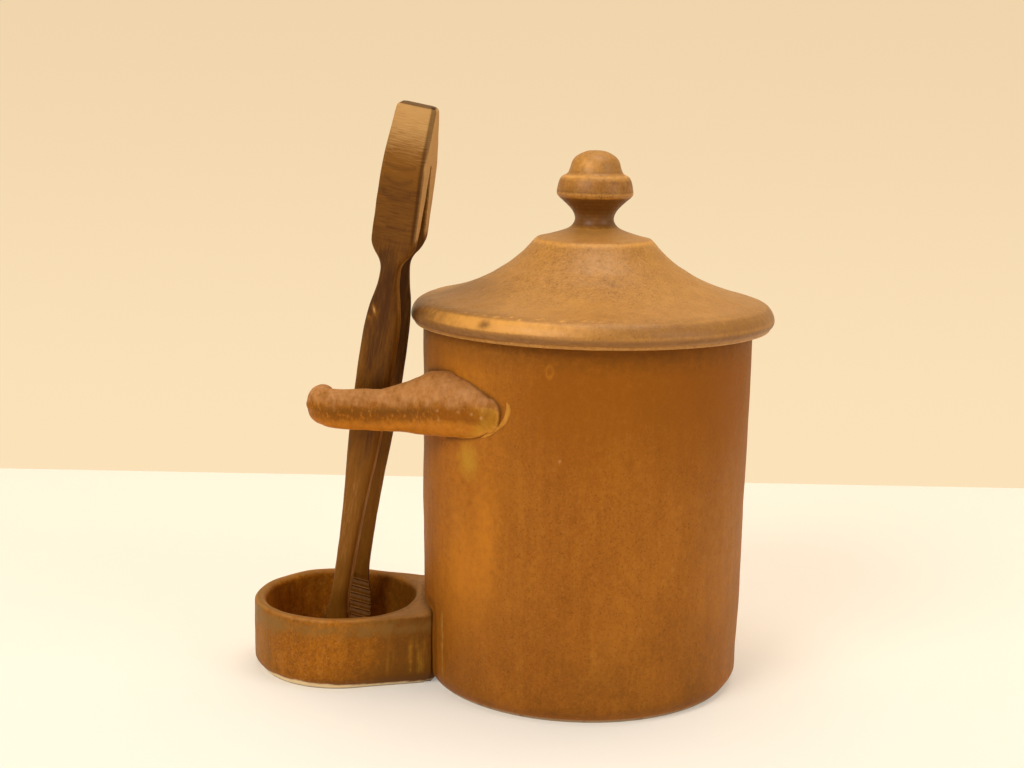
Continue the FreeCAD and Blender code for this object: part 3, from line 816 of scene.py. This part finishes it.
vesselMarks = {
    # angle round the jar and level, along each joint; then the painted shade along its crease: where it is
    # looked for, its depth and its reach
    "rootEdge": [(-162.3, 111.2), (-153.8, 112.9), (-147.7, 113.3), (-139.8, 112.2), (-133.8, 110.9),
                 (-128.4, 109.2), (-124.7, 107.6), (-121.9, 105.8), (-120.9, 104.0), (-122.0, 100.9),
                 (-124.3, 98.6), (-126.9, 96.7), (-129.4, 95.3), (-133.5, 94.1), (-138.9, 93.0),
                 (-145.9, 91.8)],
    "cupJoint": [(-154.8, 0), (-154.6, 12), (-154.8, 24), (-156.5, 29.0), (-163, 30.2)],
    "shadedCreases": [("rootEdge", (-140, 32), (85, 120), 0.6, 1.9), ("cupJoint", (-158, 14), (-1, 38), 0.35, 2.2)],
    # spots: strength, angle, width, level, height
    # painted shadow under the root of the hook
    "shadowUnderHook": (0.55, -147, 6, 90.2, 2.2),
    "orangeStreak": (0.3, -126, 3.5, 64, 15),
    "orangeFoot": (0.35, -118, 14, 5.5, 3.5),
    "goldPatch": (0.9, -134.5, 4.5, 86, 6),
    # a painted pale reflection on the right of the wall
    "paleReflection": (0.4, 0, 24, 58, 40),
    "paleReflectionAt": -30,
    "orangeSide": (0.5, -137, 21),  # strength, angle, width
    "sideShadow": (0.35, -154, 3.5),
    "blister": (-104.1, 118.6),
    "fleck": (-100.2, 89.5),
}


def paintVessel(piece):
    p, marks = places(piece), vesselMarks
    turn, radius = polar(p)
    level = p[:, 2]
    outside = radius > wallRadius(level) - 1.2
    creaseShade = np.zeros(len(p))
    # painted shade in the creases along the hook's root and the cup's joint
    for name, (middle, half), (low, high), depth, reach in marks["shadedCreases"]:
        near = outside & (np.abs(turn - middle) < half) & (level > low) & (level < high)
        gap = nearest(p[near], wallLine(marks[name]))
        creaseShade[near] = np.maximum(creaseShade[near], depth * (1 - smooth(gap, 0.2, reach)))
    # painted shadow under the root of the hook, broken into patches, and a painted contact shadow where the
    # foot stands
    shadowUnderHook = spot(turn, level, marks["shadowUnderHook"]) * smooth(wave(p, 2.4, 68), -0.5, 0.6) * outside
    foot = 0.6 * (1 - smooth(level, 0.1, 0.6)) * (radius > 50)
    paint(piece, "creaseShade", np.maximum(np.maximum(creaseShade, shadowUnderHook), foot))
    paint(piece, "clay", (1 - smooth(level + 0.35 * wave(p, 5, 61), 0.2, 0.9)) * (radius > 30) * 0.8)
    strength, middle, width = marks["orangeSide"]
    cloudy = 0.8 + 0.35 * wave(p * [1, 1, 0.5], 34, 66, 2)
    orange = strength * hill(turn, middle, width) * smooth(level, -10, 60) * cloudy
    orange += spot(turn, level, marks["orangeStreak"])
    orange += spot(turn, level, marks["orangeFoot"]) * smooth(wave(p, 7, 69), -0.4, 0.6)
    across, up = turn - marks["blister"][0], level - marks["blister"][1]
    ring = hill(np.hypot(across / 1.1, up / 1.9), 1, 0.4)
    paint(piece, "orange", (orange * (1 - 0.4 * smooth(level, 112, 122)) + 0.45 * ring) * outside)
    across, up = turn - marks["fleck"][0], level - marks["fleck"][1]
    paint(piece, "pale", 0.8 * hill(np.hypot(across, up), 0, 0.6) * outside)
    # painted pale reflection on the right of the wall
    paint(piece, "rose", spot(apart(turn, marks["paleReflectionAt"]), level, marks["paleReflection"]) * outside)
    paint(piece, "olive", spot(turn, level, marks["goldPatch"]) * outside)
    # painted light: the upper part is richer, where the wall reflects none of the bright table; painted
    # shadow darkens the band under the lid, and the wall darkens towards the foot
    sides = within(turn, (-134, -100), (120, 175))
    paint(piece, "rich", 0.7 * smooth(level + 6 * wave(p, 60, 70, 2), 62, 112) * outside * sides)
    low = (0.8 + 0.3 * wave(p, 30, 71, 2)) * (1 + 0.3 * hill(apart(turn, -50), 0, 30))
    shade = 0.5 * smooth(level, 112, 126) + 0.5 * (1 - smooth(level, -15, 72)) * low
    strength, middle, width = marks["sideShadow"]
    shade += strength * hill(turn, middle, width) * smooth(level, 62, 90) * (level < 92)
    paint(piece, "umber", shade * outside)


cupMarks = {
    "bareEdge": 0.7,  # width of the worn outer edge of the rim
    "dustBand": (0.6, 4.0, 3.2),  # strength, how far below the rim, width
    "dustCorner": (0.5, -165, 40),  # strength, angle round the cup, width
    "clayEdge": (1.0, 1.5, -118, 46),  # height of the bare clay: everywhere, and more at an angle, width
    "runs": [(1.0, -40, 6), (0.7, -54, 5)],
    "shadedSide": (0.7, -96, -58),  # painted shade: strength, from x to x, toward the jar
}


def paintCup(piece):
    p, marks = places(piece), cupMarks
    turn, radius = polar(p, -cup["centre"])
    level, top, hole = p[:, 2], cup["height"], cup["hole"]
    toJar = np.hypot(p[:, 0], p[:, 1]) - wallRadius(level)
    rim = smooth(level, top - 1.4, top - 0.2)
    onWeb = rim * smooth(radius, hole + 1.5, hole + 5)
    outside = radius > hole + 2
    bare = hill(radius, hole + cup["wall"] - 0.6, marks["bareEdge"]) * smooth(level, top - 1.6, top - 0.7)
    paint(piece, "gold", 0.35 * bare * (0.8 + 0.5 * wave(p, 9, 75)))
    strength, drop, width = marks["dustBand"]
    under = strength * outside * hill(level, top - drop, width)
    dusty = 0.55 * rim * (1 - 0.3 * onWeb) + under * (0.8 + 0.4 * wave(p, 12, 76))
    strength, middle, width = marks["dustCorner"]
    corner = strength * outside * hill(apart(turn, middle), 0, width)
    paint(piece, "dust", (dusty + corner) * (1 - 0.6 * bare))
    paint(piece, "rose", 0.35 * onWeb * smooth(toJar, 0.5, 4) + 0.25 * rim)
    # painted shade in the groove against the jar, and a painted contact shadow along the bottom
    joint = 0.3 * (1 - smooth(toJar, 0.1, 2.2)) * smooth(radius, hole + 1, hole + 3)
    paint(piece, "creaseShade", joint + 0.7 * (1 - smooth(level, 0.1, 0.6)) * (radius > 20))
    low, more, middle, width = marks["clayEdge"]
    edge = low + more * hill(turn, middle, width)
    ragged = level + 0.3 * wave(p, 5, 62)
    paint(piece, "clay", (1 - smooth(ragged, edge - 0.3, edge + 0.3)) * 0.95 * (radius > 15))
    runs = sum(strength * hill(turn, middle, width) for strength, middle, width in marks["runs"])
    runs = runs * (0.55 + 0.6 * wave(p * [1, 1, 0.1], 3, 65))
    paint(piece, "olive", 0.5 * runs * within(level, (1, 8), (14, 23)) * outside)
    # painted shade on the side toward the jar, outside and inside; the outside also darkens towards the
    # bottom
    strength, start, end = marks["shadedSide"]
    shade = (0.3 * (1 - smooth(level, 2, 12)) + strength * smooth(p[:, 0], start, end)) * outside
    paint(piece, "umber", shade + 0.6 * (1 - outside) * smooth(p[:, 0], -84, -66) * (1 - rim))


hookMarks = {
    # bands along the hook: height above its middle line, width
    "darkLine": (0.3, 1.3),
    "richBand": (-0.8, 2.8),
    "seam": (-0.9, 2.4),
    "violet": (4.0, 2.2),
    "dim": (0.2, -60, 14, 2.2, 2.0),  # strength, x, width, height, width
    # pale specks on the root: x, height above the middle line
    "flecks": [(-50.3, 0.6), (-50.0, -2.2), (-43.3, 0.4), (-38.9, 0.3), (-35.7, -0.6)],
}


def paintHook(piece):
    p, marks = places(piece), hookMarks
    x = p[:, 0]
    toJar = np.hypot(x, p[:, 1]) - wallRadius(p[:, 2])
    rise = p[:, 2] - (hook["level"] + (hook["rootLift"] - 0.8) * smooth(x, hook["rootX"], -44))
    front = smooth(-p[:, 1], 28, 31)
    arm = 1 - smooth(x, -56, -46)
    blotch, speckle = wave(p, 7, 72), wave(p * [1, 1, 0.5], 2.2, 77, 2)
    tan = smooth(rise + 0.5 * blotch + 0.5 * speckle, -1, 6)
    paint(piece, "rose", (0.62 + 0.1 * blotch + 0.16 * speckle) * tan)
    violet = 0.28 * hill(rise, *marks["violet"]) + 0.12 * (rise > 3)
    violet *= smooth(blotch - 0.6 * speckle, -0.4, 0.9)
    dark = 0.5 * hill(rise, *marks["darkLine"]) * (0.1 + 0.9 * arm)
    paint(piece, "umber", (dark + spot(x, rise, marks["dim"]) + violet) * front)
    paint(piece, "rich", 0.75 * hill(rise, *marks["richBand"]) * front)
    flecks = sum(hill(np.hypot(x - along, rise - up), 0, 0.6) for along, up in marks["flecks"])
    paint(piece, "pale", 0.6 * flecks * front)
    paint(piece, "olive", 0.6 * hill(toJar, 1.8, 1.2) * smooth(x, -46, -36) * (rise < 3) * front)
    paint(piece, "seam", front * hill(rise, *marks["seam"]) * (0.15 + 0.5 * arm))
    top = 0.25 * smooth(rise, 3, 6) * smooth(speckle, 0.2, 1.0)
    paint(piece, "gold", 0.55 * hill(toJar, 0.9, 0.6) * smooth(x, -50, -38) * (rise < 2) + top)
    paint(piece, "orange", 0.6 * (1 - smooth(rise, -5, -1)))
    # painted shade where the hook meets the jar
    paint(piece, "creaseShade", 0.6 * (1 - smooth(toJar, 0.0, 0.9)))


ridgeMarks = {"glazeRing": (0.6, 0.0), "glazeSeam": (0.35, 0.4)}  # gold and dust on each bead


def paintRidge(piece):
    p = places(piece)
    gold, dust = ridgeMarks[piece.name]
    paint(piece, "gold", gold + 0.12 * wave(p, 4, 64))
    paint(piece, "dust", np.full(len(p), dust))


lidMarks = {
    "edge": (20.6, 0.9),  # radius and width of the pale edge at the top of the slope
    "roll": ((130.2, 131.2), (134.0, 135.0)),  # levels over which the rolled rim starts and ends
    "goldHighlightSide": (-122, 30),  # angle and width of the gold on the roll: glaze thinning on the edge, with a painted highlight on the lit side
    "notch": (0.8, -125.5, 2.3, 132.6, 1.6),  # strength, angle, width, level, height
    "worn": (59.3, 0.7, -108, 34),  # radius and width, angle and width of the worn line above the roll
    "shoulder": (177.9, 0.55),  # levels and widths of the knob's pale and dark rings
    "lowRing": (171.9, 0.4),
    "darkRing": (172.8, 0.4),
    "groove": (179.3, 0.5),
    "ring": ((172.9, 173.6), (176.4, 177.2)),
    "neck": ((159.5, 161.5), (170.3, 170.9)),
    "cone": ((163.0, 165.5), (170.2, 170.9)),
    # spots on the knob, each round its own angle: strength, 0, width, level, height; painted highlights in
    # gold on the left of the dome and the band, painted shade on the right of the dome
    "domeHighlight": (-118, (0.7, 0, 36, 182.0, 3.2)),
    "bandHighlight": (-130, (0.3, 0, 40, 175.5, 2.5)),
    "domeShade": (-45, (0.35, 0, 35, 181.5, 2.5)),
    "lathe": 1.3,  # distance between the turning lines
    "darkMark": (6.5, -34.2),  # x and y of a small brown spot on the slope
}


def paintLid(piece):
    p, marks = places(piece), lidMarks
    turn, radius = polar(p, lid["shift"])
    level = p[:, 2]
    upper, body, knob = level > 128, level < 160, level > 168
    slope = upper * body
    blotch = wave(p, 8, 73)
    lathe = 0.5 + 0.5 * np.sin(2 * np.pi * level / marks["lathe"] + 0.8 * blotch)
    left = hill(turn, *marks["goldHighlightSide"])
    roll = within(level, *marks["roll"]) * (radius > 58) * upper
    notch = spot(turn, level, marks["notch"])
    ring, neck, cone = (within(level, *marks[key]) for key in ("ring", "neck", "cone"))
    domeHighlight, bandHighlight, domeShade = (spot(apart(turn, middle), level, mark) for middle, mark in
                                     (marks[key] for key in ("domeHighlight", "bandHighlight", "domeShade")))

    # the knob's gold rings, and painted highlights on the left of its dome and band
    golden = 0.5 * hill(level, *marks["shoulder"]) * (0.7 + 0.5 * wave(p, 4, 74))
    golden += 0.32 * hill(level, *marks["lowRing"]) + domeHighlight * (0.8 + 0.4 * blotch) + bandHighlight
    at, wide, middle, width = marks["worn"]
    worn = hill(radius + wave(p, 9, 79), at, wide) * upper * hill(turn, middle, width)
    worn *= smooth(wave(p, 4, 80), -0.1, 0.5)
    # the roll is gold on its left, thin glaze with a painted highlight
    rimGold = 0.5 * hill(radius, *marks["edge"]) * slope + 0.85 * left * roll * (1 - notch) + 0.7 * worn
    paint(piece, "gold", rimGold + golden * knob)

    # painted sheen on the front of the slope and a painted glint on the front of the dome, besides the pale
    # lip and the pale ring on the knob
    sheen = within(radius, (21, 23), (28, 34)) * slope * hill(turn, -88, 26) * (0.9 + 0.3 * wave(p, 5, 78))
    glint = hill(np.hypot(p[:, 0] - lid["shift"] - 0.5, (level - 183.0) * 1.2), 0, 2.2) * (p[:, 1] < -4)
    lip = hill(level, 126.9, 0.35) * smooth(radius, 60.5, 61.5)
    paint(piece, "pale", 0.4 * (sheen + glint) + 0.3 * lip + 0.25 * hill(level, 178.0, 0.4) * knob)

    top = (radius < 20) * (radius > 8) * slope
    violet = 0.3 * hill(apart(turn, -75), 0, 45) * (level > 178.5)
    flank = smooth(radius, 30, 56) * slope * (1 - roll)
    paint(piece, "rose", 0.5 * top + 0.35 * flank + violet + 0.3 * roll * (1 - left))

    # turning lines and the dark ring are the glaze's own; the groove under the dome takes painted shade
    rings = (hill(level, *marks["darkRing"]) + 0.15 * lathe) * (level > 170.7)
    rings += 0.6 * hill(level, *marks["groove"])
    # painted shade on the neck under the knob, partly the glaze's own richer colour there; the notch on the
    # roll is a real dark mark
    shade = 0.9 * neck * (0.8 + 0.25 * lathe) + 0.6 * rings + 0.7 * notch * roll
    shade += 0.6 * hill(apart(turn, -160), 0, 34) * smooth(radius, 24, 45) * slope
    shade += 0.34 * ring * (0.9 + 0.6 * blotch) + domeShade
    # painted shade under the roll
    shade += 0.9 * hill(level, 128.9, 1.2) * (radius > 60.5)
    # the crackle above the roll, and painted shade on the roll away from its lit side
    bend = hill(level + 0.25 * blotch, 135.2, 0.5) * (radius > 54) * (radius < 62)
    shade += 0.3 * (bend + 1.75 * roll * (1 - left))
    x, y = marks["darkMark"]
    shade += 0.5 * hill(np.hypot(p[:, 0] - x, (p[:, 1] - y) * 0.8), 0, 1.3) * slope
    paint(piece, "umber", shade)
    # painted shade on the cone under the knob's band
    paint(piece, "creaseShade", 0.24 * cone * (0.8 + 0.3 * lathe))
    paint(piece, "rich", 0.6 * neck + 0.4 * ring)


tongsMarks = {
    # in the tongs' own frame: x runs across the face
    "worn": (0.8, -2.7, 0.9, 131, 1.1, 1.3),  # strength, x, width, level, height, slant
    "chip": (-4.2, 127.8),  # x, level
    "arcs": [(172, 2.5, 1.1), (177, 2.0, 0.8), (181, 1.2, 0.6)],  # curved grain: level, drop, width
    "crest": (0.28, 0.12),  # place and width of the pale line on each tooth, as shares of the pitch
}


def paintTongs(piece):
    p, marks = tongsPlaces(piece), tongsMarks
    layer = piece.data.attributes.new("woodPlace", "FLOAT_VECTOR", "POINT")
    layer.data.foreach_set("vector", p.astype(np.float32).ravel())
    x, level, tooth = p[:, 0], p[:, 2], tongs["tooth"]
    near = p[:, 1] < 0
    face = faceHalf(np.clip(level, 0, 198))
    light = np.interp(level, *np.array(wood["paleness"]).T)
    light += 0.12 * wave(p * [1, 0.4, 0.22], 11, 67) * (level < 152)
    strength, at, width, up, height, slant = marks["worn"]
    worn = spot(x, level + slant * (x - at), (strength, at, width, up, height))
    worn += 0.4 * hill(np.hypot(x - marks["chip"][0], level - marks["chip"][1]), 0, 0.7)
    # a worn spot and a chip on the near arm, and a painted highlight along its edge on the jar's side
    light += (worn + 0.35 * smooth(x, face - 0.55, face - 0.15) * (level < 150)) * near
    block = smooth(level, 154, 158)
    # a painted highlight on the block's side faces toward the jar
    light += 0.9 * smooth(x, face - 0.9, face - 0.3) * block * (1 - light.clip(0, 1))
    inner, outer = (np.interp(level, *np.array(tongs[key]).T) for key in ("inner", "outer"))
    pitch = (level - tooth["first"]) / tooth["pitch"]
    at, width = marks["crest"]
    crest = hill(pitch - np.round(pitch - at) - at, 0, width)
    teeth = (level < 21) * (np.abs(p[:, 1]) < inner + 1.0)
    paint(piece, "woodLight", np.where(teeth, 0.32 + 0.68 * crest, light))
    paint(piece, "woodRings", smooth(level, 150, 160))
    # the bevel on the jar's side painted dark, painted shade on the top, and the curved grain
    start, depth = face - tongs["bevel"][0], outer - np.abs(p[:, 1])
    onBevel = smooth(x, start - 0.4, start + 0.1) * smooth(depth - 0.05, 0.0, 0.3)
    onSide = smooth(depth, 1.3, 1.7) * smooth(np.abs(x), face - 1.0, face - 0.3)
    darkMark = block * onBevel * (1 - onSide) * 0.6 * near + 0.8 * smooth(level, 199.5, 199.95)
    for middle, drop, wide in marks["arcs"]:
        arc = middle - drop * (1 - ((x + 1) / 5.5)**2) - level
        darkMark += 0.35 * hill(arc, 0, wide) * (np.abs(x + 1) < 5.2) * near
    darkMark += 0.5 * hill(level, 160, 0.5) * (x > -3) * (x < 4) * near
    paint(piece, "woodMarksAndShade", darkMark)


print("surface marks")
paintVessel(vesselPiece)
paintCup(cupPiece)
paintHook(hookPiece)
for piece in ridgePieces:
    paintRidge(piece)
paintLid(lidPiece)
paintTongs(tongsPiece)

print("materials")
settle(vesselPiece, glazeMaterial("vesselGlaze", glaze), "jar")
cast = glazeMaterial("castGlaze", castGlaze)
for piece in [cupPiece, hookPiece] + ridgePieces:
    settle(piece, cast, "jar")
settle(lidPiece, glazeMaterial("lidGlaze", lidGlaze), "lid")
settle(tongsPiece, woodMaterial("tongsWood"), "tongs")

stage = {
    "tableEdge": 0.282,  # metres behind the jar's axis
    "wallAt": 0.30,
    "table": (252, 246, 234),
    "tableFar": (254, 248, 236),
    "wall": (252, 226, 185),
    "wallTop": (240, 212, 171),
    "lampColour": (1.0, 0.95, 0.88),
    "skyColour": (1.0, 0.95, 0.88, 1),
    "skyStrength": 0.25,
    "shadow": 0.72,  # how much of the shadow the table shows
    "reach": 2,  # half width of the sheets
    "target": (0, 0, 0.09),
    # place, size, power
    "lamps": {"keyLamp": ((-0.75, -1.0, 1.0), 0.8, 12), "fillLamp": ((1.1, -0.7, 0.7), 0.9, 5),
              "topLamp": ((0.1, 0.1, 1.3), 1.0, 9)},
}


def stageMaterial(name, low, high, axisScale, shadowed):
    # a plain surface; to the camera and in reflections it shows its own colour, keeping part of its shadow
    material = newMaterial(name)
    where = add("TexCoord").outputs["Object"]
    height = add("SeparateXYZ", {0: where}).outputs[2 if axisScale > 0 else 1]
    colour = blend(between(height, 0.0, abs(axisScale)), tint(*low), tint(*high))
    lit = add("BsdfDiffuse", {"Color": colour, "Roughness": 0.0})
    shown = add("Emission", {"Color": colour, "Strength": 1.0})
    path = add("LightPath")
    direct = calc("MAXIMUM", path.outputs["Is Camera Ray"], path.outputs["Is Glossy Ray"])
    away = add("VectorMath", {0: where}, operation="LENGTH").outputs["Value"]
    share = times(direct, between(away, 0.35, 0.9, 1.0 - shadowed, 1.0))
    mixed = add("MixShader", {0: share, 1: lit.outputs[0], 2: shown.outputs[0]})
    # from behind the sheet is clear, so that it never hides the object
    clear = add("BsdfTransparent")
    behind = add("NewGeometry").outputs["Backfacing"]
    whole = add("MixShader", {0: behind, 1: mixed.outputs[0], 2: clear.outputs[0]})
    add("OutputMaterial", {"Surface": whole.outputs[0]})
    return material


def makeSheet(name, corners, material):
    mesh = bpy.data.meshes.new(name)
    mesh.from_pydata(corners, [], [(0, 1, 2, 3)])
    sheet = bpy.data.objects.new(name, mesh)
    bpy.context.scene.collection.objects.link(sheet)
    mesh.materials.append(material)


def makeLamp(name, place, size, power):
    data = bpy.data.lights.new(name, "AREA")
    data.shape, data.size, data.energy, data.color = "DISK", size, power, stage["lampColour"]
    lamp = bpy.data.objects.new(name, data)
    bpy.context.scene.collection.objects.link(lamp)
    lamp.location = place
    lamp.rotation_euler = (Vector(stage["target"]) - Vector(place)).to_track_quat("-Z", "Y").to_euler()


print("stage and lights")
far, wallAt, wide = stage["tableEdge"], stage["wallAt"], stage["reach"]
makeSheet("table", [(-wide, -wide, 0), (wide, -wide, 0), (wide, far, 0), (-wide, far, 0)],
          stageMaterial("tableColour", stage["table"], stage["tableFar"], -0.3, stage["shadow"]))
makeSheet("wall", [(-wide, wallAt, -0.6), (wide, wallAt, -0.6), (wide, wallAt, 2), (-wide, wallAt, 2)],
          stageMaterial("wallColour", stage["wall"], stage["wallTop"], 0.3, 0.0))
for name, lamp in stage["lamps"].items():
    makeLamp(name, *lamp)
world = bpy.data.worlds.new("studio")
startTree(world)
sky = add("Background", {"Color": stage["skyColour"], "Strength": stage["skyStrength"]})
seen = add("Background", {"Color": tint(*stage["wall"]), "Strength": 1.0})
share = add("LightPath").outputs["Is Camera Ray"]
mixed = add("MixShader", {0: share, 1: sky.outputs[0], 2: seen.outputs[0]})
add("OutputWorld", {"Surface": mixed.outputs[0]})
bpy.context.scene.world = world

camera = {
    "place": (-0.02271, -0.53952, 0.2035),
    "ahead": (-0.00633, 0.98346, -0.181),
    "roll": 0.018,
    "lens": 54.42,
}


def makeCamera():
    ahead = Vector(camera["ahead"]).normalized()
    right = ahead.cross(Vector((0, 0, 1))).normalized()
    up = right.cross(ahead)
    c, s = math.cos(camera["roll"]), math.sin(camera["roll"])
    tilted, raised = c * right + s * up, c * up - s * right
    data = bpy.data.cameras.new("camera")
    data.lens = camera["lens"]
    data.sensor_width = 36
    data.clip_start = 0.01
    eye = bpy.data.objects.new("camera", data)
    bpy.context.scene.collection.objects.link(eye)
    turn = Matrix((tilted, raised, -ahead)).transposed().to_4x4()
    eye.matrix_world = Matrix.Translation(camera["place"]) @ turn
    bpy.context.scene.camera = eye


makeCamera()
bpy.context.scene.view_settings.view_transform = "Standard"
